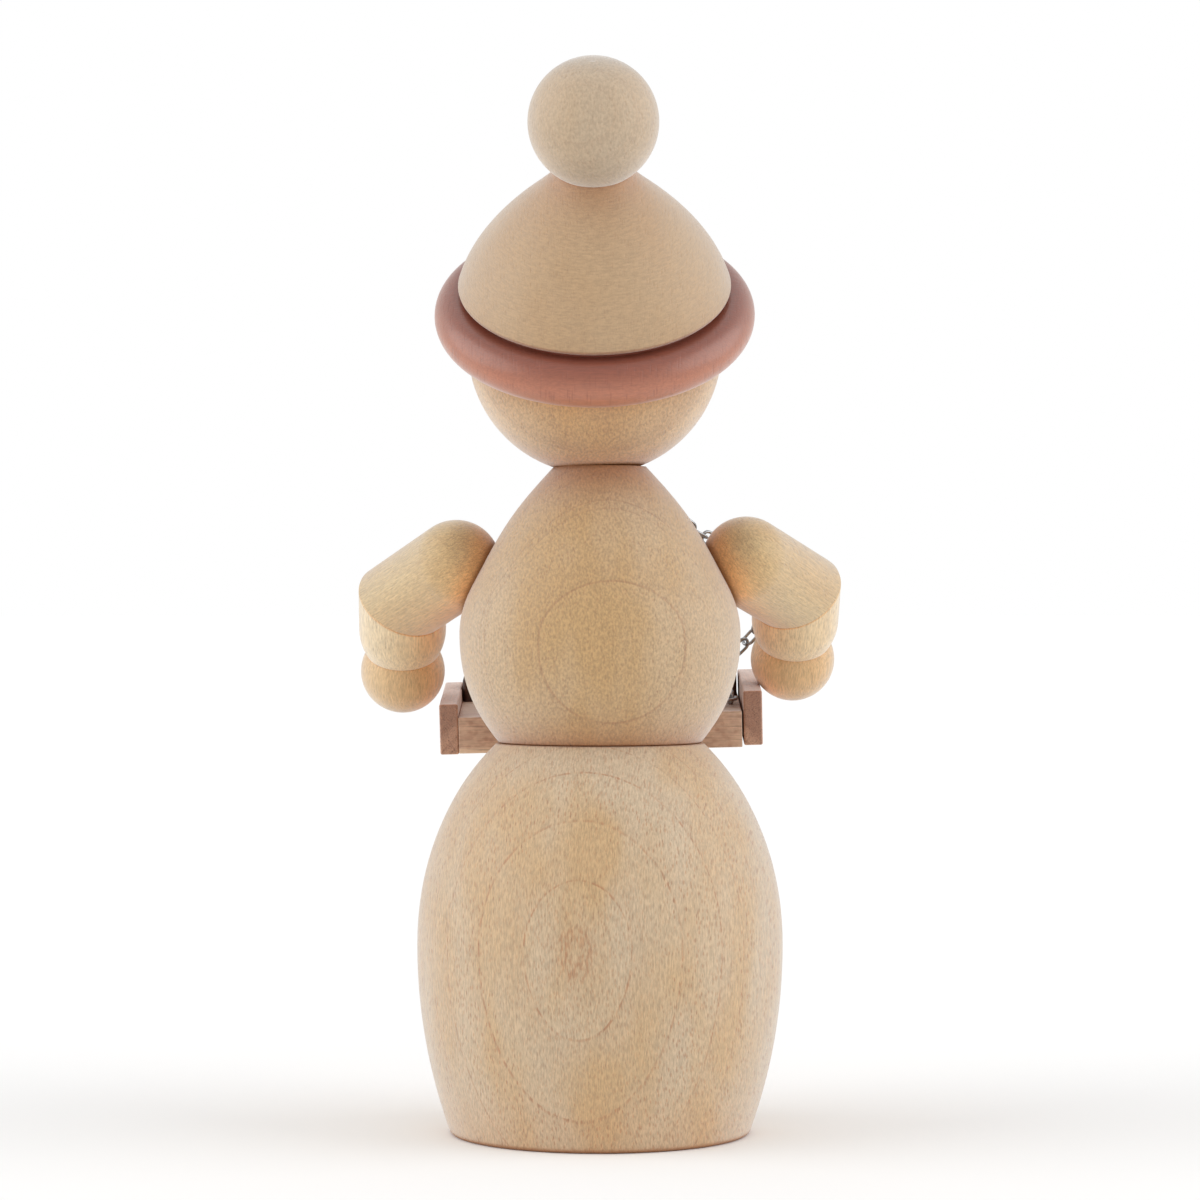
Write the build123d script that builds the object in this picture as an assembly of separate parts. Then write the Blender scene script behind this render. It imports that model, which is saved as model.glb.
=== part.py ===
from build123d import *
import os
from math import cos, radians, sin

# A turned wooden snowman that holds a tray. It faces -Y and stands on Z = 0, and X points to
# the figure's own left. The origin is the middle of the base's underside. Sizes are in mm.

# --- Turned body -----------------------------------------------------------------------
BASE_RADIUS = 17.6
BASE_EDGE_ROUND = 0.8
BARREL_RADIUS = 21.57
BARREL_WIDEST_Z = 22.1
BARREL_TOP_RADIUS = 12.2
WAIST_Z = 46.0
BELLY_FOOT_RADIUS = 11.9
BELLY_RADIUS = 16.6
BELLY_WIDEST_Z = 58.8
NECK_RADIUS = 5.45
NECK_Z = 78.6
WAIST_EDGE_ROUND = 0.5

# --- Head, face and hat ----------------------------------------------------------------
HEAD_RADIUS = 15.0
HEAD_CENTRE = Vector(0.6, 0, 92.7)
HAT_TILT = 34.2
HAT_LEAN = 0.3
BRIM_MIDDLE = 4.66
BRIM_RING_RADIUS = 16.0
BRIM_EDGE_RADIUS = 2.8
BRIM_SEAT_RADIUS = 15.0
BRIM_SEAT_HEIGHT = 0.5
CROWN_RADIUS = 15.95
CROWN_HEIGHT = 15.6
CROWN_TOP_RADIUS = 4.4
CROWN_EDGE_ROUND = 0.7
POMPOM_RADIUS = 7.5
NOSE_LENGTH = 9.0
NOSE_RADIUS = 1.9
NOSE_TIP_RADIUS = 0.5
NOSE_SUNK = 0.6
NOSE_TENON_DEPTH = 3.7
EYE_RADIUS = 0.9
EYE_DOME = 0.5
EYE_DEPTH = 3.0
EYE_SPREAD = 21
EYE_RISE = 17
BUTTON_RADIUS = 1.4
BUTTON_DOME = 0.7
BUTTON_DEPTH = 4.0
BUTTON_HEIGHTS = (71.0, 64.5, 58.0)
PEG_SHANK_SHARE = 0.6
PEG_RIM = 0.4

# --- Arms ------------------------------------------------------------------------------
ARM_RADIUS = 5.3
UPPER_ARM_LENGTH = 12.5
ELBOW_TO_HAND = 10.2
SLEEVE_LENGTH = 7.3
SLEEVE_TAPER_START = 4.0
SLEEVE_END_RADIUS = 4.45
HAND_RADIUS = 5.15
MITRE_CHAMFER = 0.14
# Middle of the shoulder's round end, and the directions to the elbow and on to the hand.
ARMS = {
    "left": (Vector(17.1, -3.2, 67.1), Vector(0.554, -0.758, -0.345), Vector(0.022, -0.530, -0.848)),
    "right": (Vector(-17.4, -3.3, 67.5), Vector(-0.525, -0.800, -0.292), Vector(0.021, -0.587, -0.809)),
}

# --- Tray ------------------------------------------------------------------------------
TRAY_REAR_TOP = Vector(0, -13.9, 48.9)
TRAY_PITCH = 6.9
TRAY_ROLL = 1.36
SLAB_WIDTH = 34.6
SLAB_LENGTH = 19.4
SLAB_THICKNESS = 4.45
BOARD_THICKNESS = 2.3
RIGHT_BOARD_GAP = 0.2
LEFT_BOARD_HEIGHT = 6.2
LEFT_BOARD_TOP = 1.65
RIGHT_BOARD_HEIGHT = 6.7
RIGHT_BOARD_TOP = 2.45
FRONT_BOARD_TOP = 2.0
BLOCK_COUNT = 4
BLOCK_DEPTH = 4.0
BLOCK_HEIGHT = 3.1
BLOCK_GAP = 0.25
BLOCK_EDGE_ROUND = 0.6

# --- Dowels and pins -------------------------------------------------------------------
GLUE_GAP = 0.05
WAIST_DOWEL = (3.0, 20.0)
NECK_DOWEL = (2.5, 16.0)
HAT_DOWEL = (2.5, 20.0)
POMPOM_DOWEL = (1.5, 8.0)
SHOULDER_DOWEL = (1.5, 9.0)
ELBOW_DOWEL = (1.25, 7.0)
HAND_DOWEL = (1.25, 6.0)
TRAY_DOWEL = (1.25, 10.0)
PIN_RADIUS = 0.22
PIN_HEAD_RADIUS = 0.6
PIN_HEAD_HEIGHT = 0.3
PIN_CLEARANCE = 0.1
PIN_DEPTH = 3.0

# --- Chain -----------------------------------------------------------------------------
WIRE = 0.4
LINK_WIDTH = 1.9
LINK_LENGTH = 2.8
LINK_PITCH = 1.88
LINK_LIFT = 1.05
CHEST_PIN_AZIMUTH = 220
CHEST_PIN_Z = 75.2
SLEEVE_PIN_ALONG = 1.5
SLEEVE_PIN_TURN = 60
UPPER_CHAIN_SAG = 0.6
# Below the sleeve the chain hangs past these points, then lies in the tray past these others,
# which are measured from the middle of the tray floor's rear top edge.
HANGING_POINTS = ((-20.2, -22.2, 61.0), (-19.1, -22.4, 58.7), (-17.4, -21.8, 57.0), (-15.2, -20.6, 54.6))
LYING_POINTS = (
    (-13.4, -4.6, 1.5), (-15.2, -3.9, 0.98), (-16.0, -6.6, 0.98), (-14.2, -9.6, 0.98), (-10.8, -10.0, 0.98),
)


def unit(vector):
    return vector.normalized()


def half_space(place, reach):
    """A box, reach long each way, on the side of a place that its Z axis points to."""
    return place * Pos(0, 0, reach / 2) * Box(reach, reach, reach)


def blind_dowel(middle, direction, size):
    """A round dowel about its middle, and the cutter for its glued hole."""
    radius, length = size
    place = Plane(origin=middle, z_dir=direction)
    dowel = place * chamfer(Cylinder(radius, length).edges().filter_by(GeomType.CIRCLE), 0.3)
    hole = place * Cylinder(radius + GLUE_GAP, length + 2 * GLUE_GAP)
    return dowel, hole


# --- Outlines of the turned body, as (radius, height) in the XZ plane ----------------------
barrel_foot = (BASE_RADIUS, 0)
barrel_low = ThreePointArc(barrel_foot, (20.76, 12.0), (BARREL_RADIUS, BARREL_WIDEST_Z))
barrel_high = Spline(
    (BARREL_RADIUS, BARREL_WIDEST_Z), (19.5, 34.5), (16.7, 40.4), (BARREL_TOP_RADIUS, WAIST_Z),
    tangents=((0, 1), (-0.72, 0.70)),
)
belly_low = Spline(
    (BELLY_FOOT_RADIUS, WAIST_Z), (14.75, 50.3), (BELLY_RADIUS, BELLY_WIDEST_Z),
    tangents=((0.62, 0.78), (0, 1)),
)
belly_high = Spline(
    (BELLY_RADIUS, BELLY_WIDEST_Z), (14.4, 65.9), (10.7, 72.3), (NECK_RADIUS, NECK_Z),
    tangents=((0, 1), (-0.68, 0.73)),
)


def turned(edges):
    """Turn an outline, given from its foot to its top, into a solid about the Z axis."""
    foot = edges[0] @ 0
    top = edges[-1] @ 1
    closing = Polyline((foot.X, foot.Y), (0, foot.Y), (0, top.Y), (top.X, top.Y))
    profile = make_face([*edges, *closing.edges()])
    return revolve(Plane.XZ * profile, Axis.Z)


def belly_point(height, azimuth):
    """The point on the upper body at a height and azimuth, as a plane that looks outwards."""
    outline = belly_low if height < BELLY_WIDEST_Z else belly_high
    low, high = 0.0, 1.0
    for _ in range(40):
        middle = (low + high) / 2
        if (outline @ middle).Y < height:
            low = middle
        else:
            high = middle
    point = outline @ low
    slope = outline % low
    across = Vector(cos(radians(azimuth)), sin(radians(azimuth)), 0)
    normal = across * slope.Y - Vector(0, 0, slope.X)
    return Plane(origin=across * point.X + Vector(0, 0, point.Y), z_dir=normal)


# --- Frames that the parts are placed in ---------------------------------------------------
hat_axis = unit(Vector(sin(radians(HAT_LEAN)), sin(radians(HAT_TILT)), cos(radians(HAT_TILT))))
hat_side = Vector(cos(radians(HAT_LEAN)), 0, -sin(radians(HAT_LEAN)))
hat_frame = Plane(origin=HEAD_CENTRE, x_dir=hat_side, z_dir=hat_axis)
hat_seat = BRIM_MIDDLE - BRIM_EDGE_RADIUS
crown_seat = BRIM_MIDDLE + BRIM_EDGE_RADIUS + BRIM_SEAT_HEIGHT
crown_top = crown_seat + CROWN_HEIGHT
pompom_middle = crown_top + (POMPOM_RADIUS**2 - CROWN_TOP_RADIUS**2) ** 0.5
tray_frame = Pos(TRAY_REAR_TOP) * Rot(-TRAY_PITCH, TRAY_ROLL, 0)


# --- Body, head and hat --------------------------------------------------------------------
def make_lower_body():
    body = turned([barrel_low, barrel_high])
    body = fillet(body.edges().group_by(Axis.Z)[0], BASE_EDGE_ROUND)
    return fillet(body.edges().group_by(Axis.Z)[-1], WAIST_EDGE_ROUND)


def make_upper_body():
    body = turned([belly_low, belly_high])
    return fillet(body.edges().group_by(Axis.Z)[0], WAIST_EDGE_ROUND)


def make_head():
    """A ball with a flat on the neck and a tilted flat under the hat."""
    above_neck = half_space(Pos(0, 0, NECK_Z), 4 * HEAD_RADIUS)
    below_hat = half_space(hat_frame * Pos(0, 0, hat_seat) * Rot(180, 0, 0), 4 * HEAD_RADIUS)
    return Pos(HEAD_CENTRE) * Sphere(HEAD_RADIUS) & above_neck & below_hat


def make_brim():
    """A flat disc with a fully rounded edge, and a low seat that the crown stands on."""
    disc = Cylinder(BRIM_RING_RADIUS, 2 * BRIM_EDGE_RADIUS)
    rim = Torus(BRIM_RING_RADIUS, BRIM_EDGE_RADIUS)
    seat = Pos(0, 0, BRIM_EDGE_RADIUS) * Cylinder(BRIM_SEAT_RADIUS, 2 * BRIM_SEAT_HEIGHT)
    return hat_frame * Pos(0, 0, BRIM_MIDDLE) * (disc + rim + seat)


def make_crown():
    """A dome that runs out into a slim neck below the pompom."""
    dome = Spline(
        (CROWN_RADIUS, CROWN_EDGE_ROUND), (12.45, 7.05), (8.5, 11.25), (5.1, 14.5),
        (CROWN_TOP_RADIUS, CROWN_HEIGHT), tangents=((-0.3, 0.95), (-0.35, 0.94)),
    )
    foot_round = ThreePointArc(
        (CROWN_RADIUS - CROWN_EDGE_ROUND, 0),
        (CROWN_RADIUS - 0.3 * CROWN_EDGE_ROUND, 0.3 * CROWN_EDGE_ROUND),
        (CROWN_RADIUS, CROWN_EDGE_ROUND),
    )
    return hat_frame * Pos(0, 0, crown_seat) * turned([foot_round, dome])


def make_pompom():
    ball = Pos(0, 0, pompom_middle) * Sphere(POMPOM_RADIUS)
    above_crown = half_space(Pos(0, 0, crown_top), 4 * POMPOM_RADIUS)
    return hat_frame * (ball & above_crown)


# --- Face and buttons ------------------------------------------------------------------------
def face_point(turn, rise):
    """The point on the head at a turn from straight ahead and a rise, looking outwards."""
    outwards = Vector(sin(radians(turn)) * cos(radians(rise)), -cos(radians(turn)) * cos(radians(rise)),
                      sin(radians(rise)))
    return Plane(origin=HEAD_CENTRE + outwards * HEAD_RADIUS, z_dir=outwards)


def make_peg(place, radius, dome, depth):
    """A domed peg set in a drilled hole: returns the peg and its hole."""
    shank_radius = PEG_SHANK_SHARE * radius
    shank = Pos(0, 0, -depth / 2) * Cylinder(shank_radius, depth)
    sphere_radius = (radius**2 + dome**2) / (2 * dome)
    cap = Pos(0, 0, dome - sphere_radius) * Sphere(sphere_radius)
    cap = cap & half_space(Pos(0, 0, 0), 2 * sphere_radius)
    rim = Pos(0, 0, -PEG_RIM / 2) * Cylinder(radius, PEG_RIM)
    hole = Pos(0, 0, -depth / 2 - GLUE_GAP) * Cylinder(shank_radius + GLUE_GAP, depth + GLUE_GAP)
    seat = Pos(0, 0, -PEG_RIM / 2) * Cylinder(radius + GLUE_GAP, PEG_RIM + 2 * GLUE_GAP)
    return place * (cap + rim + shank), place * (hole + seat)


def make_nose():
    """A slim cone with a rounded tip on a round tenon: returns the nose and its hole."""
    place = face_point(0, 1)
    tip = NOSE_LENGTH - NOSE_TIP_RADIUS
    cone = Pos(0, 0, (tip - NOSE_SUNK) / 2) * Cone(NOSE_RADIUS, NOSE_TIP_RADIUS, tip + NOSE_SUNK)
    point = Pos(0, 0, tip) * Sphere(NOSE_TIP_RADIUS)
    tenon_radius = PEG_SHANK_SHARE * NOSE_RADIUS
    tenon = Pos(0, 0, -NOSE_TENON_DEPTH / 2) * Cylinder(tenon_radius, NOSE_TENON_DEPTH)
    hole_depth = NOSE_TENON_DEPTH + GLUE_GAP
    hole = Pos(0, 0, -hole_depth / 2) * Cylinder(tenon_radius + GLUE_GAP, hole_depth)
    seat_depth = NOSE_SUNK + GLUE_GAP
    seat = Cylinder(NOSE_RADIUS + GLUE_GAP, 2 * seat_depth)
    return place * (cone + point + tenon), place * (hole + seat)


# --- Arms ------------------------------------------------------------------------------------
def ease_mitre(piece, elbow, mitre):
    """Take the sharp edge off a piece where it was sawn on the mitre."""
    sawn = piece.edges().filter_by(lambda edge: abs((edge.center() - elbow).dot(mitre)) < 0.001)
    return chamfer(sawn, MITRE_CHAMFER)


def make_arm(side, bodies):
    """One arm: an upper arm and a sleeve cut on the mitre, a ball hand, and their dowels."""
    shoulder, to_elbow, to_hand = ARMS[side]
    to_elbow, to_hand = unit(to_elbow), unit(to_hand)
    elbow = shoulder + to_elbow * UPPER_ARM_LENGTH
    mitre = unit(to_elbow + to_hand)
    before_mitre = half_space(Plane(origin=elbow, z_dir=-mitre), 8 * ARM_RADIUS)
    after_mitre = half_space(Plane(origin=elbow, z_dir=mitre), 8 * ARM_RADIUS)

    rod_length = UPPER_ARM_LENGTH + 2 * ARM_RADIUS
    rod = Pos(0, 0, rod_length / 2) * Cylinder(ARM_RADIUS, rod_length)
    upper = Plane(origin=shoulder, z_dir=to_elbow) * (rod + Sphere(ARM_RADIUS)) & before_mitre
    upper = ease_mitre(upper, elbow, mitre)

    straight = Line((ARM_RADIUS, -2 * ARM_RADIUS), (ARM_RADIUS, SLEEVE_TAPER_START))
    taper = TangentArc(straight @ 1, (SLEEVE_END_RADIUS, SLEEVE_LENGTH), tangent=(0, 1))
    sleeve = turned([straight, taper])
    forearm = Plane(origin=elbow, z_dir=to_hand) * sleeve & after_mitre
    forearm = ease_mitre(forearm, elbow, mitre)

    ball = Pos(0, 0, ELBOW_TO_HAND) * Sphere(HAND_RADIUS)
    past_sleeve = half_space(Pos(0, 0, SLEEVE_LENGTH), 4 * HAND_RADIUS)
    hand = Plane(origin=elbow, z_dir=to_hand) * (ball & past_sleeve)

    inwards = unit(Vector(-shoulder.X, -shoulder.Y, 0))
    shoulder_dowel, shoulder_hole = blind_dowel(shoulder + inwards * 4.0, inwards, SHOULDER_DOWEL)
    elbow_dowel, elbow_hole = blind_dowel(elbow, mitre, ELBOW_DOWEL)
    hand_dowel, hand_hole = blind_dowel(elbow + to_hand * SLEEVE_LENGTH, to_hand, HAND_DOWEL)
    for body in bodies:
        upper = upper - body
    return {
        f"{side}_upper_arm": upper - shoulder_hole - elbow_hole,
        f"{side}_forearm": forearm - elbow_hole - hand_hole,
        f"{side}_hand": hand - hand_hole,
        f"{side}_shoulder_dowel": shoulder_dowel,
        f"{side}_elbow_dowel": elbow_dowel,
        f"{side}_hand_dowel": hand_dowel,
    }, shoulder_hole


# --- Tray ------------------------------------------------------------------------------------
def tray_box(width, length, height, left, rear, top, edge=0.25, sharp_foot=False):
    """A board in the tray's frame: its middle in X, its rear end and its top are given."""
    board = Box(width, length, height)
    eased = board.edges().filter_by(lambda line: not sharp_foot or line.center().Z > -height / 2 + 0.01)
    board = fillet(eased, edge)
    return tray_frame * Pos(left, -rear - length / 2, top - height / 2) * board


def make_tray():
    slab = tray_box(SLAB_WIDTH, SLAB_LENGTH, SLAB_THICKNESS, 0, 0, 0, edge=0.12)
    side_x = (SLAB_WIDTH + BOARD_THICKNESS) / 2
    right_x = -side_x - RIGHT_BOARD_GAP
    left = tray_box(BOARD_THICKNESS, SLAB_LENGTH, LEFT_BOARD_HEIGHT, side_x, 0, LEFT_BOARD_TOP)
    right = tray_box(BOARD_THICKNESS, SLAB_LENGTH, RIGHT_BOARD_HEIGHT, right_x, 0, RIGHT_BOARD_TOP)
    front_width = SLAB_WIDTH - 0.1
    front = tray_box(front_width, BOARD_THICKNESS, FRONT_BOARD_TOP, 0, SLAB_LENGTH - BOARD_THICKNESS,
                     FRONT_BOARD_TOP)
    block_width = SLAB_WIDTH / BLOCK_COUNT - BLOCK_GAP
    blocks = []
    for number in range(BLOCK_COUNT):
        x = (number + 0.5) * SLAB_WIDTH / BLOCK_COUNT - SLAB_WIDTH / 2
        rear = SLAB_LENGTH - BOARD_THICKNESS - BLOCK_DEPTH - 0.1
        blocks.append(tray_box(block_width, BLOCK_DEPTH, BLOCK_HEIGHT, x, rear, BLOCK_HEIGHT,
                               BLOCK_EDGE_ROUND, sharp_foot=True))
    return slab, left, right, front, blocks


# --- Chain -----------------------------------------------------------------------------------
def make_link():
    """A stadium-shaped link of round wire, lying in XY with its long way along Y."""
    bend = (LINK_WIDTH - WIRE) / 2
    straight = LINK_LENGTH - LINK_WIDTH
    section = Plane.XZ * Pos(bend, 0) * Circle(WIRE / 2)
    end = Pos(0, straight / 2, 0) * revolve(section, Axis.Z, 180)
    side = Pos(0, straight / 2, 0) * extrude(section, straight)
    half = end + side
    return half + Rot(0, 0, 180) * half


link_solid = make_link()


def place_link(middle, along, normal):
    return Plane(origin=middle, x_dir=along.cross(normal), z_dir=normal) * link_solid


def link_normals(path, count, first_normal, last_normal):
    """Normals for links a quarter turn apart along a path, eased round to a given last one."""
    normals = []
    normal = first_normal
    for number in range(count + 1):
        along = path % (number / count)
        normal = unit(normal - along * normal.dot(along))
        normals.append(normal)
        normal = unit(along.cross(normal))
    if last_normal is None:
        return normals
    along = path % 1
    wanted = unit(last_normal - along * last_normal.dot(along))
    twist = normals[-1].get_signed_angle(wanted, along)
    twist = (twist + 90) % 180 - 90
    return [
        normal.rotate(Axis((0, 0, 0), path % (number / count)), twist * number / count)
        for number, normal in enumerate(normals)
    ]


def links_on(path, first_normal, last_normal=None):
    """Links from one end of a path to the other, in interlocked quarter turns."""
    count = round(path.length / LINK_PITCH)
    normals = link_normals(path, count, first_normal, last_normal)
    return [
        place_link(path @ (number / count), path % (number / count), normal)
        for number, normal in enumerate(normals)
    ]


def make_pin(place):
    """A headed pin that holds a link, in the frame of the surface that it is driven into."""
    neck = LINK_LIFT + WIRE / 2 + PIN_CLEARANCE
    shank = Pos(0, 0, (neck - PIN_DEPTH) / 2) * Cylinder(PIN_RADIUS, neck + PIN_DEPTH)
    head = Pos(0, 0, neck + PIN_HEAD_HEIGHT / 2) * Cylinder(PIN_HEAD_RADIUS, PIN_HEAD_HEIGHT)
    hole = Pos(0, 0, -PIN_DEPTH / 2) * Cylinder(PIN_RADIUS + GLUE_GAP, PIN_DEPTH + 4 * GLUE_GAP)
    return place * (shank + head), place * hole


def make_chain():
    """The chain from the chest pin to the sleeve pin, and on down into the tray."""
    chest = belly_point(CHEST_PIN_Z, CHEST_PIN_AZIMUTH)
    shoulder, to_elbow, to_hand = ARMS["right"]
    to_elbow, to_hand = unit(to_elbow), unit(to_hand)
    elbow = shoulder + to_elbow * UPPER_ARM_LENGTH
    inner = unit(Vector(1, 0, 0) - to_hand * to_hand.X)
    turn = radians(SLEEVE_PIN_TURN)
    outwards = inner * cos(turn) + to_hand.cross(inner) * sin(turn)
    sleeve = Plane(origin=elbow + to_hand * SLEEVE_PIN_ALONG + outwards * ARM_RADIUS, z_dir=outwards)

    # The first link hooks over the chest pin, and the sleeve pin runs through the middle link.
    reach = sleeve.origin - chest.origin
    away = unit(reach - chest.z_dir * reach.dot(chest.z_dir))
    hook = LINK_LENGTH / 2 - WIRE - PIN_RADIUS - GLUE_GAP
    first = chest.origin + chest.z_dir * LINK_LIFT + away * hook
    middle = sleeve.origin + sleeve.z_dir * LINK_LIFT
    sag = Vector(0, 0, -UPPER_CHAIN_SAG)
    upper_path = Spline(first, (first + middle) / 2 + sag, middle, tangents=(away, to_hand))
    lower_points = [middle, *(Vector(*point) for point in HANGING_POINTS)]
    lower_points += [(tray_frame * Pos(*point)).position for point in LYING_POINTS]
    lower_path = Spline(*lower_points, tangents=(to_hand, unit(lower_points[-1] - lower_points[-2])))

    upper = links_on(upper_path, chest.z_dir, sleeve.z_dir)
    lower = links_on(lower_path, sleeve.z_dir)
    chest_pin, chest_hole = make_pin(chest)
    sleeve_pin, sleeve_hole = make_pin(sleeve)
    return upper, lower[1:], (chest_pin, chest_hole), (sleeve_pin, sleeve_hole)


# --- Putting the figure together -------------------------------------------------------------
lower_body = make_lower_body()
upper_body = make_upper_body()
head = make_head()
brim = make_brim()
crown = make_crown()
pompom = make_pompom()
slab, left_board, right_board, front_board, blocks = make_tray()
left_arm, left_shoulder_hole = make_arm("left", [upper_body])
right_arm, right_shoulder_hole = make_arm("right", [upper_body])
upper_chain, lower_chain, (chest_pin, chest_hole), (sleeve_pin, sleeve_hole) = make_chain()
nose, nose_hole = make_nose()
left_eye, left_eye_hole = make_peg(face_point(EYE_SPREAD, EYE_RISE), EYE_RADIUS, EYE_DOME, EYE_DEPTH)
right_eye, right_eye_hole = make_peg(face_point(-EYE_SPREAD, EYE_RISE), EYE_RADIUS, EYE_DOME, EYE_DEPTH)
button_pairs = [
    make_peg(belly_point(height, 270), BUTTON_RADIUS, BUTTON_DOME, BUTTON_DEPTH)
    for height in BUTTON_HEIGHTS
]

waist_dowel, waist_hole = blind_dowel(Vector(0, 0, WAIST_Z), Vector(0, 0, 1), WAIST_DOWEL)
neck_dowel, neck_hole = blind_dowel(Vector(HEAD_CENTRE.X, 0, NECK_Z), Vector(0, 0, 1), NECK_DOWEL)
hat_middle = HEAD_CENTRE + hat_axis * BRIM_MIDDLE
hat_dowel, hat_hole = blind_dowel(hat_middle, hat_axis, HAT_DOWEL)
pompom_seat = HEAD_CENTRE + hat_axis * crown_top
pompom_dowel, pompom_hole = blind_dowel(pompom_seat, hat_axis, POMPOM_DOWEL)
tray_joint = Vector(0, TRAY_REAR_TOP.Y, TRAY_REAR_TOP.Z - SLAB_THICKNESS / 2 + 1.1)
tray_dowel, tray_hole = blind_dowel(tray_joint, Vector(0, 1, 0), TRAY_DOWEL)

parts = {
    "lower_body": lower_body - waist_hole,
    "upper_body": upper_body - waist_hole - neck_hole - left_shoulder_hole - right_shoulder_hole
    - tray_hole - chest_hole,
    "head": head - neck_hole - hat_hole - nose_hole - left_eye_hole - right_eye_hole,
    "hat_brim": brim - hat_hole,
    "hat_crown": crown - hat_hole - pompom_hole,
    "hat_pompom": pompom - pompom_hole,
    "nose": nose,
    "left_eye": left_eye,
    "right_eye": right_eye,
    "buttons": Compound(children=[button for button, hole in button_pairs]),
    "waist_dowel": waist_dowel,
    "neck_dowel": neck_dowel,
    "hat_dowel": hat_dowel,
    "pompom_dowel": pompom_dowel,
    "tray_floor": slab - upper_body - lower_body - tray_hole,
    "tray_left_board": left_board,
    "tray_right_board": right_board,
    "tray_front_board": front_board,
    "tray_blocks": Compound(children=blocks),
    "tray_dowel": tray_dowel,
    "chest_pin": chest_pin,
    "sleeve_pin": sleeve_pin,
    "upper_chain": Compound(children=upper_chain),
    "lower_chain": Compound(children=lower_chain),
    **left_arm,
    **right_arm,
}
for button, hole in button_pairs:
    parts["upper_body"] -= hole
parts["right_forearm"] -= sleeve_hole
parts["left_hand"] -= left_board
parts["right_hand"] -= right_board

os.makedirs("parts", exist_ok=True)
for name, shape in parts.items():
    export_step(shape, f"parts/{name}.step")
print(f"{len(parts)} sub-parts written")
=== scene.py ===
from collections import namedtuple
from math import radians
from random import Random

import bpy
from mathutils import Matrix, Vector


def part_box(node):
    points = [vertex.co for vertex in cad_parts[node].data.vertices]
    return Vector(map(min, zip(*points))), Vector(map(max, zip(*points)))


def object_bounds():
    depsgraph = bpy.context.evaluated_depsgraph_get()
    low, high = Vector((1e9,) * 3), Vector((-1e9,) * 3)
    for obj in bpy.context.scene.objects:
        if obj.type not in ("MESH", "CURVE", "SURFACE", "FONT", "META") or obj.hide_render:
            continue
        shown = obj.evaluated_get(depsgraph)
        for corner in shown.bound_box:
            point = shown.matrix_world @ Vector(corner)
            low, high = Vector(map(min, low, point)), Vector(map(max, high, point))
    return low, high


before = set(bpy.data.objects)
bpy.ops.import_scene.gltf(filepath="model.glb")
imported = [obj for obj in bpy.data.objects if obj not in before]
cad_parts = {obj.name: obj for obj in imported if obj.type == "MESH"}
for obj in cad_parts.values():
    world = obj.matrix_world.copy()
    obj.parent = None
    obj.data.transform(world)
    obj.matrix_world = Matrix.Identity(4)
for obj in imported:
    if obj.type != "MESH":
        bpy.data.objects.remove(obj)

# A turned wooden snowman seen from behind. Every wooden piece is cut from its own block, so its
# material is solid: growth rings, ray flecks and fibres run through the piece in its own grain
# direction. Lengths in the materials are millimetres, and everything else is in metres.
MM = 0.001
UP = (0, 0, 1)
cad_low, cad_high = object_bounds()

# --- Camera: level, behind the figure, looking along -Y ------------------------------------
VIEW_DISTANCE = 0.4362
VIEW_HEIGHT = 0.504 * cad_high.z
FRAME_HEIGHT = 1.137 * cad_high.z

# --- Light ---------------------------------------------------------------------------------
WORLD_STRENGTH = 0.80
SOFTBOX_STRENGTH = 1.26
SOFTBOX_ANGLE = 60
SOFTBOX_AZIMUTH = 80
SOFTBOX_ELEVATION = 32
FLOOR_RADIUS = 14.0
FLOOR_SIDES = 96

# --- Wood ----------------------------------------------------------------------------------
RING_REACH = 26.0
MAX_RINGS = 24
USUAL_SPACING = 2.6
FAR_PITH = 200.0
HOLLOW_REACH = 11 * MM
SEAM_REACH = 1.4 * MM
SEAM_SHADE = 0.75
BARREL_WIDEST = (0, 0, 22.1 * MM)
BELLY_WIDEST = (0, 0, 58.8 * MM)

# Two slow-changing tones of a wood, and the dark of its rings and flecks, also used for the painted shade
# in seams.
Tones = namedtuple("Tones", "light warm dark")
DARK_BEECH = (0.270, 0.110, 0.042)
BEECH = Tones((0.520, 0.392, 0.255), (0.505, 0.322, 0.150), DARK_BEECH)
BARREL_BEECH = BEECH._replace(dark=(0.340, 0.130, 0.045))
BELLY_MAPLE = Tones((0.485, 0.335, 0.188), (0.460, 0.275, 0.105), DARK_BEECH)
HEAD_MAPLE = Tones((0.590, 0.390, 0.205), (0.570, 0.330, 0.125), DARK_BEECH)
CROWN_MAPLE = Tones((0.465, 0.315, 0.175), (0.460, 0.288, 0.138), DARK_BEECH)
POMPOM_MAPLE = Tones((0.470, 0.355, 0.238), (0.465, 0.315, 0.175), DARK_BEECH)
ARM_BEECH = Tones((0.545, 0.392, 0.195), (0.530, 0.332, 0.140), DARK_BEECH)
# Painted light: the sleeves' beech is paler than the upper arms' to stand for the light the
# downward-facing sleeves get from the floor; the wood is the same.
SLEEVE_BEECH_PAINTED_PALER = Tones((0.740, 0.585, 0.370), (0.700, 0.500, 0.270), DARK_BEECH)
HAND_BEECH = Tones((0.640, 0.440, 0.230), (0.620, 0.380, 0.170), DARK_BEECH)
RED_PEARWOOD = Tones((0.425, 0.152, 0.080), (0.395, 0.120, 0.055), (0.210, 0.046, 0.020))
DARK_PEARWOOD = (0.260, 0.095, 0.055)
SLAB_PEARWOOD = Tones((0.840, 0.660, 0.490), (0.780, 0.570, 0.400), DARK_PEARWOOD)
BOARD_PEARWOOD = Tones((0.700, 0.410, 0.275), (0.620, 0.330, 0.215), DARK_PEARWOOD)
BROWN_STAIN = Tones((0.070, 0.028, 0.016), (0.050, 0.018, 0.010), (0.012, 0.005, 0.004))
BLACK_STAIN = Tones((0.030, 0.026, 0.024), (0.022, 0.018, 0.016), (0.008, 0.007, 0.006))


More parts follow.
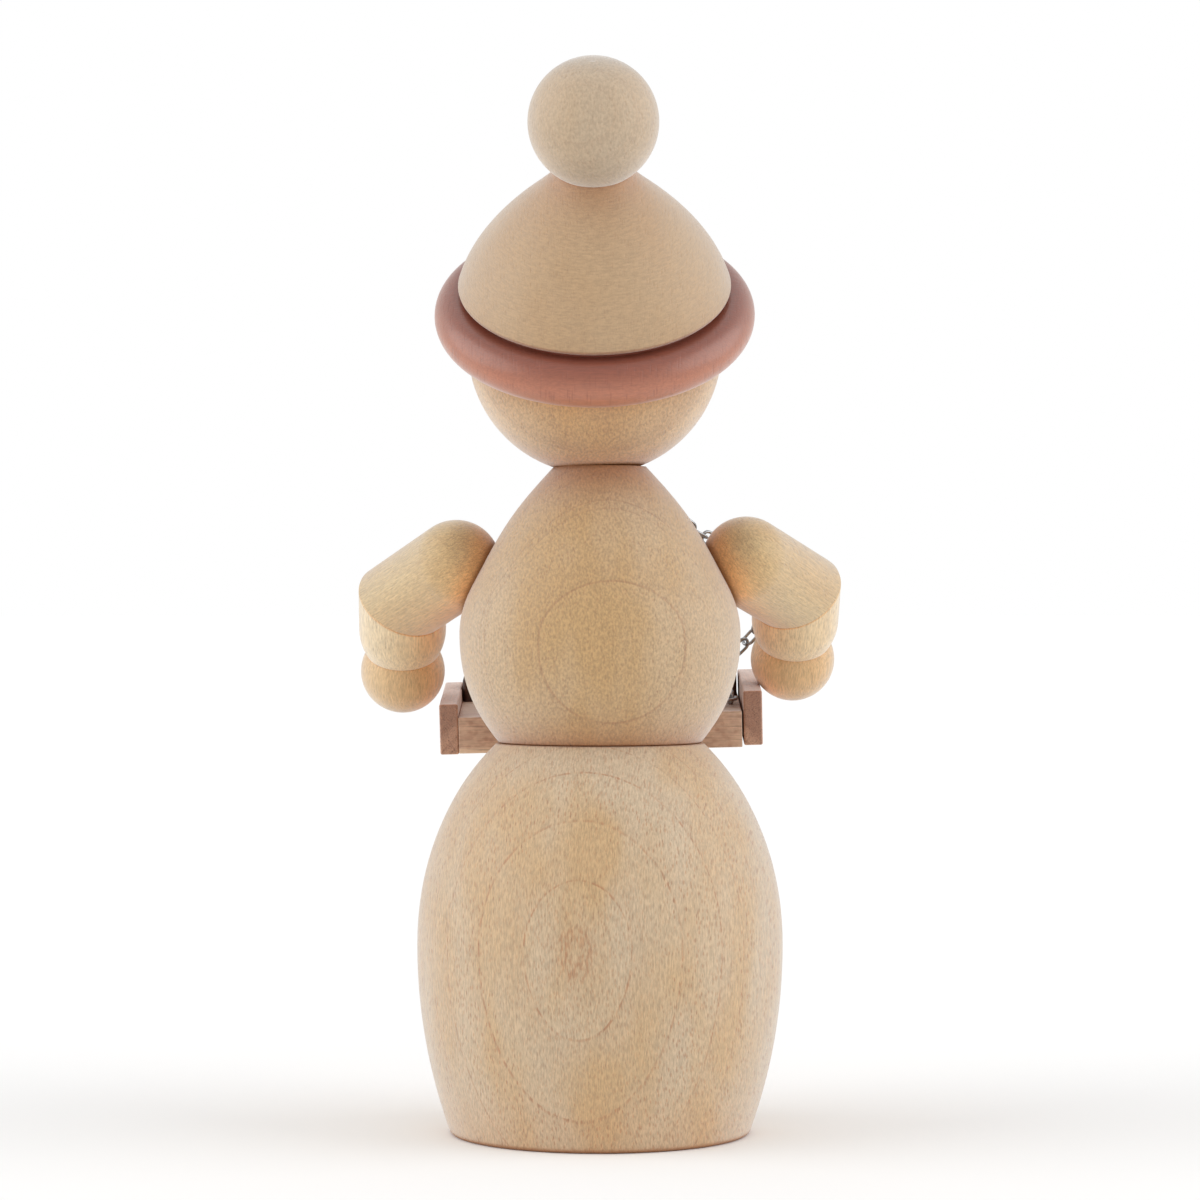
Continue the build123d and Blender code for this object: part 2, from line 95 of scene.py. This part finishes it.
# === Node helpers ==========================================================================
class Graph:
    """A material's node tree, with short calls that make a node and return its output."""

    def __init__(self, name):
        self.material = bpy.data.materials.new(name)
        self.material.use_nodes = True
        self.tree = self.material.node_tree
        self.shader = self.tree.nodes["Principled BSDF"]

    def set(self, socket, value):
        if isinstance(value, bpy.types.NodeSocket):
            self.tree.links.new(value, socket)
        else:
            socket.default_value = value

    def node(self, kind, **settings):
        made = self.tree.nodes.new("ShaderNode" + kind)
        for key, value in settings.items():
            setattr(made, key, value)
        return made

    def math(self, operation, first, second=0.0):
        made = self.node("Math", operation=operation)
        self.set(made.inputs[0], first)
        self.set(made.inputs[1], second)
        return made.outputs[0]

    def vector_math(self, operation, first, second=(0, 0, 0)):
        made = self.node("VectorMath", operation=operation)
        self.set(made.inputs[0], first)
        self.set(made.inputs[1], second)
        return made.outputs["Value" if operation in ("LENGTH", "DOT_PRODUCT") else "Vector"]

    def remap(self, value, low, high, to_low=0.0, to_high=1.0, smooth=False):
        made = self.node("MapRange", interpolation_type="SMOOTHSTEP" if smooth else "LINEAR")
        for socket, number in zip(made.inputs, (value, low, high, to_low, to_high)):
            self.set(socket, number)
        return made.outputs[0]

    def noise(self, space, size, detail=2.0, roughness=0.5):
        """Noise whose lumps are size long along each axis of space."""
        made = self.node("TexNoise")
        self.set(made.inputs["Vector"], self.vector_math("DIVIDE", space, size))
        made.inputs["Scale"].default_value = 1.0
        made.inputs["Detail"].default_value = detail
        made.inputs["Roughness"].default_value = roughness
        return made.outputs["Fac"]

    def spots(self, space, size, radius):
        """Soft spots scattered in cells of that size: their mask, and a random number for each."""
        made = self.node("TexVoronoi")
        self.set(made.inputs["Vector"], self.vector_math("DIVIDE", space, size))
        made.inputs["Scale"].default_value = 1.0
        mask = self.remap(made.outputs["Distance"], 0.35 * radius, radius, 1.0, 0.0, smooth=True)
        split = self.node("SeparateColor")
        self.set(split.inputs[0], made.outputs["Color"])
        return mask, split.outputs[0]

    def mix(self, share, first, second, blend="MIX"):
        made = self.node("Mix", data_type="RGBA", blend_type=blend)
        self.set(made.inputs["Factor"], share)
        self.set(made.inputs[6], first if isinstance(first, bpy.types.NodeSocket) else (*first, 1))
        self.set(made.inputs[7], second if isinstance(second, bpy.types.NodeSocket) else (*second, 1))
        return made.outputs[2]

    def bump(self, height, depth):
        made = self.node("Bump")
        made.inputs["Strength"].default_value = 1.0
        made.inputs["Distance"].default_value = depth * MM
        self.set(made.inputs["Height"], height)
        self.set(self.shader.inputs["Normal"], made.outputs["Normal"])


def grain_space(graph, middle, grain, facing):
    """Millimetres from middle: X towards the bark (facing), Z along the grain."""
    along = Vector(grain).normalized()
    outwards = Vector(facing)
    outwards = (outwards - along * outwards.dot(along)).normalized()
    turn = Matrix((outwards, along.cross(outwards), along))
    mapping = graph.node("Mapping", vector_type="POINT")
    mapping.inputs["Rotation"].default_value = turn.to_euler()
    mapping.inputs["Scale"].default_value = (1 / MM, 1 / MM, 1 / MM)
    mapping.inputs["Location"].default_value = -(turn @ Vector(middle)) / MM
    coordinates = graph.node("TexCoord")
    graph.set(mapping.inputs["Vector"], coordinates.outputs["Object"])
    return mapping.outputs["Vector"]


# === Wood ==================================================================================
def uneven_rings(spacing, seed):
    """Ring places from one side of a piece to the other, unevenly spaced."""
    random = Random(seed)
    places = [-RING_REACH]
    while places[-1] < RING_REACH and len(places) < MAX_RINGS:
        places.append(places[-1] + spacing * random.uniform(0.65, 1.35))
    return places


def ring_fraction(graph, distance, places):
    """From 0 just outside one growth ring to 1 at the next, for a distance towards the bark."""
    places = sorted(places)
    curve = graph.node("FloatCurve")
    points = curve.mapping.curves[0].points
    count = len(places) - 1
    for number, place in enumerate(places):
        share = (place - places[0]) / (places[-1] - places[0])
        point = points[number] if number < 2 else points.new(share, number / count)
        point.location = (share, number / count)
    points = sorted(points, key=lambda point: point.location[0])
    for point in points:
        point.handle_type = "VECTOR"
    curve.mapping.update()
    graph.set(curve.inputs["Value"], graph.remap(distance, places[0], places[-1]))
    return graph.math("FRACT", graph.math("MULTIPLY", curve.outputs[0], float(count)))


def growth_rings(graph, space, places, pith, waves, width, dashes):
    """Wavy cylinders about the pith: how late in its year the wood is, and a mask of ring lines."""
    from_pith = graph.vector_math("MULTIPLY", graph.vector_math("ADD", space, (pith, 0, 0)), (1, 1, 0))
    distance = graph.math("SUBTRACT", graph.vector_math("LENGTH", from_pith), pith)
    swell = graph.remap(graph.noise(space, (12.0, 9.0, 30.0), 2.0), 0.0, 1.0, -waves, waves)
    fraction = ring_fraction(graph, graph.math("ADD", distance, swell), places)
    before = graph.remap(fraction, 1 - width, 1 - 0.3 * width, smooth=True)
    after = graph.remap(fraction, 0.15 * width, 0.5 * width, 1.0, 0.0, smooth=True)
    line = graph.math("MAXIMUM", before, after)
    broken = graph.remap(graph.noise(space, (0.6, 0.35, 1.1), 1.0), 0.44, 0.58)
    line = graph.math("MULTIPLY", line, graph.remap(broken, 0.0, 1.0, 1.0 - dashes, 1.0))
    fading = graph.remap(graph.noise(space, (8.0, 5.0, 9.0), 1.0), 0.3, 0.62, 0.35, 1.0)
    return graph.remap(fraction, 0.4, 0.97), graph.math("MULTIPLY", line, fading)


def ray_flecks(graph, space, size):
    """A mask of the wood's rays: many short flecks, and fewer that are larger."""
    short, chance = graph.spots(space, size, 0.46)
    short = graph.math("MULTIPLY", short, graph.remap(chance, 0.1, 1.0, 0.2, 0.85))
    large = tuple(length * factor for length, factor in zip(size, (1.3, 1.7, 1.9)))
    long, chance = graph.spots(space, large, 0.34)
    long = graph.math("MULTIPLY", long, graph.remap(chance, 0.35, 1.0, 0.0, 0.7))
    return graph.math("MAXIMUM", short, long)


def open_pores(graph, space):
    """A mask of pores, cut along the grain."""
    pore, chance = graph.spots(space, (0.22, 0.22, 4.0), 0.5)
    return graph.math("MULTIPLY", pore, graph.remap(chance, 0.1, 0.9))


def cut_across(graph, grain):
    """From 0 where a face lies along the grain to 1 on end grain."""
    coordinates = graph.node("TexCoord")
    slope = graph.vector_math("DOT_PRODUCT", coordinates.outputs["Normal"], Vector(grain).normalized())
    return graph.math("ABSOLUTE", slope)


def openness(graph, reach):
    """How much of its surroundings a point sees within reach, from 0 in a closed seam to 1."""
    made = graph.node("AmbientOcclusion", samples=6)
    made.inputs["Distance"].default_value = reach
    return made.outputs["AO"]


def wood(name, middle, tones, grain=UP, facing=(0, 1, 0), rings=None, pith=FAR_PITH, waves=0.25,
         ring_strength=0.4, ring_width=0.05, dashes=0.5, late_wood=0.05, patches=0.5, flecks=0.3,
         fleck_size=(6.0, 0.26, 0.9), fibre=0.05, curl=0.05, curl_size=(0.5, 0.35, 0.7), pores=0.0,
         end_grain=0.25, painted_hollow_strength=1.0, painted_hollow_tint=(1.06, 0.78, 0.55), roughness=0.5, sheen=0.75,
         coat=0.0, depth=0.03):
    """Solid wood. rings are places towards the bark from middle, and pith is how far off the
    middle of the tree was."""
    graph = Graph(name)
    space = grain_space(graph, middle, grain, facing)
    places = rings or uneven_rings(USUAL_SPACING, name)
    late, line = growth_rings(graph, space, places, pith, waves, ring_width, dashes)
    ray = ray_flecks(graph, space, fleck_size)

    patch = graph.remap(graph.noise(space, (11.0, 8.0, 22.0), 2.0), 0.35, 0.68, smooth=True)
    colour = graph.mix(graph.math("MULTIPLY", patch, patches), tones.light, tones.warm)
    for mask, strength in ((late, late_wood), (line, ring_strength), (ray, flecks)):
        colour = graph.mix(graph.math("MULTIPLY", mask, strength), colour, tones.dark)

    # Fibres run along the grain, and a slight curl crosses them.
    fibres = graph.noise(space, (0.14, 0.14, 3.5), 2.0, 0.6)
    lumps = graph.noise(space, curl_size, 2.0, 0.6)
    shade = graph.math("ADD", graph.remap(fibres, 0.3, 0.7, -fibre, fibre),
                       graph.remap(lumps, 0.36, 0.64, -curl, curl))
    if pores:
        shade = graph.math("SUBTRACT", shade, graph.math("MULTIPLY", open_pores(graph, space), pores))

    # Cut across the grain, wood drinks more finish and looks darker.
    across = graph.remap(cut_across(graph, grain), 0.55, 1.0, 0.0, end_grain, smooth=True)
    shade = graph.math("SUBTRACT", graph.math("ADD", shade, 1.0), across)
    colour = graph.vector_math("SCALE", colour)
    graph.set(colour.node.inputs["Scale"], shade)

    # Painted light and shade: where a point sees little open space within HOLLOW_REACH, its colour is
    # multiplied towards the hollow tint, a painted warm shade and bounce light (tints above 1 paint light
    # into the hollow). Seams get a painted dark line of shade and no bloom on them.
    hollow = graph.remap(openness(graph, HOLLOW_REACH), 0.92, 0.3, 0.0, painted_hollow_strength, smooth=True)
    colour = graph.mix(hollow, colour, painted_hollow_tint, blend="MULTIPLY")
    # Painted shade: a dark line in narrow seams and where a piece stands on the floor, from a short-reach
    # ambient occlusion.
    seam = graph.remap(openness(graph, SEAM_REACH), 0.66, 0.3, smooth=True)
    colour = graph.mix(graph.math("MULTIPLY", seam, SEAM_SHADE), colour, tones.dark)

    rough = graph.math("ADD", graph.remap(lumps, 0.3, 0.7, roughness - 0.06, roughness + 0.06),
                       graph.math("MULTIPLY", ray, 0.08))
    relief = graph.math("SUBTRACT", graph.math("ADD", fibres, lumps), graph.math("MULTIPLY", ray, 0.8))
    graph.set(graph.shader.inputs["Base Color"], colour)
    graph.set(graph.shader.inputs["Roughness"], rough)
    graph.set(graph.shader.inputs["Sheen Weight"], graph.remap(seam, 0.0, 1.0, sheen, 0.0))
    graph.shader.inputs["Sheen Roughness"].default_value = 0.5
    graph.shader.inputs["Coat Weight"].default_value = coat
    graph.shader.inputs["Coat Roughness"].default_value = 0.28
    graph.bump(relief, depth)
    return graph.material


def steel(name):
    """Fine drawn wire: bright, with drawing lines and a few dull spots."""
    graph = Graph(name)
    space = grain_space(graph, (0, 0, 0), UP, (0, 1, 0))
    cloud = graph.noise(space, (0.8, 0.8, 0.8), 3.0, 0.6)
    lines = graph.noise(space, (0.06, 0.06, 0.5), 2.0, 0.6)
    colour = graph.mix(graph.remap(cloud, 0.3, 0.7), (0.52, 0.53, 0.55), (0.22, 0.22, 0.23))
    graph.set(graph.shader.inputs["Base Color"], colour)
    graph.set(graph.shader.inputs["Roughness"], graph.remap(cloud, 0.25, 0.75, 0.18, 0.42))
    graph.shader.inputs["Metallic"].default_value = 1.0
    graph.bump(lines, 0.004)
    return graph.material


def dress(material, *names):
    for name in names:
        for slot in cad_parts[name].material_slots:
            slot.material = material


def middle_of(name):
    low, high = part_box(name)
    return (low + high) / 2


def direction(azimuth, elevation=0):
    """A unit vector, turned from +Y towards +X by azimuth and raised by elevation, in degrees."""
    flat = Matrix.Rotation(radians(-azimuth), 3, "Z") @ Vector((0, 1, 0))
    return (flat * (1 - (elevation / 90) ** 2) ** 0.5 + Vector((0, 0, elevation / 90))).normalized()


# === Materials of the pieces ===============================================================
def dress_bodies():
    """Two turned bodies, their rings cut as nested ovals by the faces towards the camera."""
    dress(wood("lower_body_beech", BARREL_WIDEST, BARREL_BEECH,
               grain=(0, -0.0227, 1), facing=direction(7),
               rings=[-24, -20.9, -19.0, -16.4, -13.8, -10.6, -8.1, -4.6, -1.9, 1.3, 4.1, 7.2, 9.8,
                      12.6, 15.25, 18.5, 20.8, 21.5, 24.5],
               waves=0.12, dashes=0.9, ring_strength=0.65, patches=0.85, flecks=0.62,
               fleck_size=(6.0, 0.27, 0.8), fibre=0.09, curl=0.15, curl_size=(0.5, 0.17, 0.8),
               painted_hollow_strength=0.3), "lower_body")
    # The upper body's hollow tint paints a warm shade under the chin.
    dress(wood("upper_body_maple", BELLY_WIDEST, BELLY_MAPLE,
               grain=(0, 0.061, 1), facing=direction(-5.5),
               rings=[-24, -15.2, -11.6, -6.8, -2.4, 3.2, 8.2, 8.9, 14.5, 18.5],
               waves=0.1, dashes=0.2, ring_width=0.03, ring_strength=0.42, patches=0.8, flecks=0.4,
               fleck_size=(3.0, 0.3, 0.55), curl=0.17, curl_size=(0.45, 0.25, 0.4), painted_hollow_strength=2.8,
               painted_hollow_tint=(0.78, 0.52, 0.37)), "upper_body")


def dress_head():
    # The head's hollow tint paints a warm shade and bounce light low on the head.
    dress(wood("head_maple", middle_of("head"), HEAD_MAPLE,
               rings=uneven_rings(1.5, 3), pith=30, waves=0.2, dashes=0.3, ring_strength=0.3,
               patches=0.7, flecks=0.4, fleck_size=(3.0, 0.3, 0.55), curl=0.17,
               curl_size=(0.45, 0.25, 0.4), painted_hollow_strength=1.4, painted_hollow_tint=(1.12, 0.79, 0.48)), "head")
    dress(wood("nose_pearwood", middle_of("nose"), RED_PEARWOOD,
               grain=(0, 1, 0), facing=(1, 0, 0), rings=uneven_rings(1.0, 8), flecks=0.25,
               fibre=0.12, roughness=0.4, coat=0.3, sheen=0.25), "nose")


def dress_hat():
    """Crown, pompom and brim, whose dark band is one year's late wood."""
    crown = middle_of("hat_crown")
    pompom = middle_of("hat_pompom")
    brim = middle_of("hat_brim")
    hat_axis = (pompom - brim).normalized()
    # The crown's hollow tint paints a warm shade under the pompom.
    dress(wood("crown_maple", crown, CROWN_MAPLE,
               grain=hat_axis, facing=(0, -1, 0.3), rings=uneven_rings(1.2, 5), pith=2, dashes=0.2,
               ring_strength=0.1, flecks=0.12, fleck_size=(1.5, 0.3, 0.8), fibre=0.06, curl=0.09,
               curl_size=(0.9, 0.9, 0.16), end_grain=0.0, painted_hollow_strength=3.6,
               painted_hollow_tint=(0.80, 0.52, 0.40)), "hat_crown")
    # The pompom's hollow tint is above 1: painted light on its underside.
    dress(wood("pompom_maple", pompom, POMPOM_MAPLE,
               facing=(0.2, 1, 0), rings=uneven_rings(1.6, 6), pith=20, dashes=0.2,
               ring_strength=0.08, flecks=0.2, fleck_size=(2.0, 0.3, 0.55), curl=0.1,
               curl_size=(0.45, 0.3, 0.4), painted_hollow_strength=9.0, painted_hollow_tint=(1.3, 1.31, 1.3)), "hat_pompom")
    dress(wood("brim_pearwood", brim, RED_PEARWOOD,
               grain=(1, 0, 0), facing=hat_axis, rings=[-2.6, 4.5, 9], pith=2000, waves=0.15,
               ring_strength=0.1, late_wood=1.6, flecks=0.4, fleck_size=(2.5, 2.5, 0.25), fibre=0.12,
               end_grain=0.0, painted_hollow_strength=0.0, roughness=0.36, coat=0.6, sheen=0.2), "hat_brim")


def dress_arm(side, along_arm, seed):
    along_hand = middle_of(f"{side}_hand") - middle_of(f"{side}_forearm")
    pieces = (("upper_arm", ARM_BEECH, along_arm, 3.2), ("forearm", SLEEVE_BEECH_PAINTED_PALER, along_hand, 1.0),
              ("hand", HAND_BEECH, along_hand, 1.0))
    # Hollow tints above 1 paint light into the hollows of the arms, sleeves and hands.
    for number, (piece, tones, along, painted_hollow_strength) in enumerate(pieces):
        name = f"{side}_{piece}"
        dress(wood(name + "_beech", middle_of(name), tones,
                   grain=along, facing=(0.3, 1, 0.2 * number), rings=uneven_rings(2.4, seed + number),
                   pith=35, ring_strength=0.12, patches=0.7, flecks=0.28, fleck_size=(2.0, 0.24, 0.7),
                   fibre=0.15, curl=0.12, curl_size=(0.4, 0.2, 0.9), painted_hollow_strength=painted_hollow_strength,
                   painted_hollow_tint=(1.5, 1.16, 0.92)), name)


def dress_tray():
    """The floor and front board run across, and the side boards run from back to front."""
    across = ((1, 0, 0), (0, 0.3, 1))
    pieces = (("tray_floor", SLAB_PEARWOOD, *across), ("tray_front_board", BOARD_PEARWOOD, *across),
              ("tray_left_board", BOARD_PEARWOOD, (0, 1, -0.12), (0.7, 0, 0.7)),
              ("tray_right_board", BOARD_PEARWOOD, (0, 1, -0.12), (-0.7, 0, 0.7)))
    for number, (name, tones, along, facing) in enumerate(pieces):
        dress(wood(name + "_pearwood", middle_of(name), tones,
                   grain=along, facing=facing, rings=uneven_rings(1.1, 20 + number), pith=50,
                   late_wood=0.3, patches=0.8, flecks=0.35, fleck_size=(1.0, 0.25, 1.0), fibre=0.14,
                   pores=0.3, end_grain=0.3, painted_hollow_strength=0.25, roughness=0.55), name)
    dress(wood("tray_blocks_stained", middle_of("tray_blocks"), BROWN_STAIN,
               grain=(1, 0, 0), rings=uneven_rings(1.2, 31), fibre=0.2, pores=0.3,
               sheen=0.03), "tray_blocks")


def dress_small_parts():
    dress(wood("black_stained_wood", (0, 0, 0), BLACK_STAIN,
               grain=(0, 1, 0), facing=UP, fibre=0.25, pores=0.3, roughness=0.38, coat=0.2,
               sheen=0.02), "left_eye", "right_eye", "buttons")
    dowels = [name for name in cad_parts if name.endswith("_dowel")]
    dress(wood("dowel_beech", (0, 0, 0), BEECH, rings=uneven_rings(1.8, 41)), *dowels)
    dress(steel("chain_steel"), "upper_chain", "lower_chain", "chest_pin", "sleeve_pin")


# === Floor, light and camera ===============================================================
def make_floor():
    """A pale round floor, a little uneven in tone."""
    edge = Vector((FLOOR_RADIUS, 0, 0))
    turns = [radians(360 * number / FLOOR_SIDES) for number in range(FLOOR_SIDES)]
    rim = [Matrix.Rotation(turn, 3, "Z") @ edge for turn in turns]
    mesh = bpy.data.meshes.new("floor")
    mesh.from_pydata(rim, [], [list(range(FLOOR_SIDES))])
    floor = bpy.data.objects.new("floor", mesh)
    bpy.context.scene.collection.objects.link(floor)
    graph = Graph("floor_paper")
    space = grain_space(graph, (0, 0, 0), UP, (0, 1, 0))
    cloud = graph.noise(space, (90.0, 90.0, 90.0), 2.0)
    graph.set(graph.shader.inputs["Base Color"], graph.mix(cloud, (0.93, 0.93, 0.93), (0.95, 0.95, 0.945)))
    graph.shader.inputs["Roughness"].default_value = 0.9
    graph.shader.inputs["Specular IOR Level"].default_value = 0.0
    mesh.materials.append(graph.material)


def make_softbox(name, azimuth):
    """A broad, even light from that side, as from a large softbox."""
    lamp = bpy.data.lights.new(name, "SUN")
    lamp.energy = SOFTBOX_STRENGTH
    lamp.angle = radians(SOFTBOX_ANGLE)
    light = bpy.data.objects.new(name, lamp)
    light.rotation_euler = direction(azimuth, SOFTBOX_ELEVATION).to_track_quat("Z", "Y").to_euler()
    bpy.context.scene.collection.objects.link(light)


def make_world():
    """An even white tent: what the camera sees of it is pure white, and its light is softer."""
    world = bpy.data.worlds.new("studio")
    world.use_nodes = True
    nodes = world.node_tree.nodes
    background = nodes["Background"]
    background.inputs["Color"].default_value = (1.0, 1.0, 1.0, 1.0)
    path = nodes.new("ShaderNodeLightPath")
    level = nodes.new("ShaderNodeMapRange")
    level.inputs["To Min"].default_value = WORLD_STRENGTH
    level.inputs["To Max"].default_value = 1.0
    world.node_tree.links.new(path.outputs["Is Camera Ray"], level.inputs["Value"])
    world.node_tree.links.new(level.outputs["Result"], background.inputs["Strength"])
    bpy.context.scene.world = world


def make_camera():
    camera = bpy.data.objects.new("camera", bpy.data.cameras.new("camera"))
    camera.location = (0, VIEW_DISTANCE, VIEW_HEIGHT)
    camera.rotation_euler = (radians(90), 0, radians(180))
    camera.data.sensor_width = 36
    camera.data.lens = 36 * VIEW_DISTANCE / FRAME_HEIGHT
    camera.data.clip_start = 0.01
    bpy.context.scene.collection.objects.link(camera)
    bpy.context.scene.camera = camera


dress_bodies()
dress_head()
dress_hat()
dress_arm("left", Vector((0.55, -0.78, -0.32)), 4)
dress_arm("right", Vector((-0.53, -0.78, -0.32)), 5)
dress_tray()
dress_small_parts()
make_floor()
make_softbox("softbox_left", SOFTBOX_AZIMUTH)
make_softbox("softbox_right", -SOFTBOX_AZIMUTH)
make_world()
make_camera()
bpy.context.scene.view_settings.view_transform = "Standard"
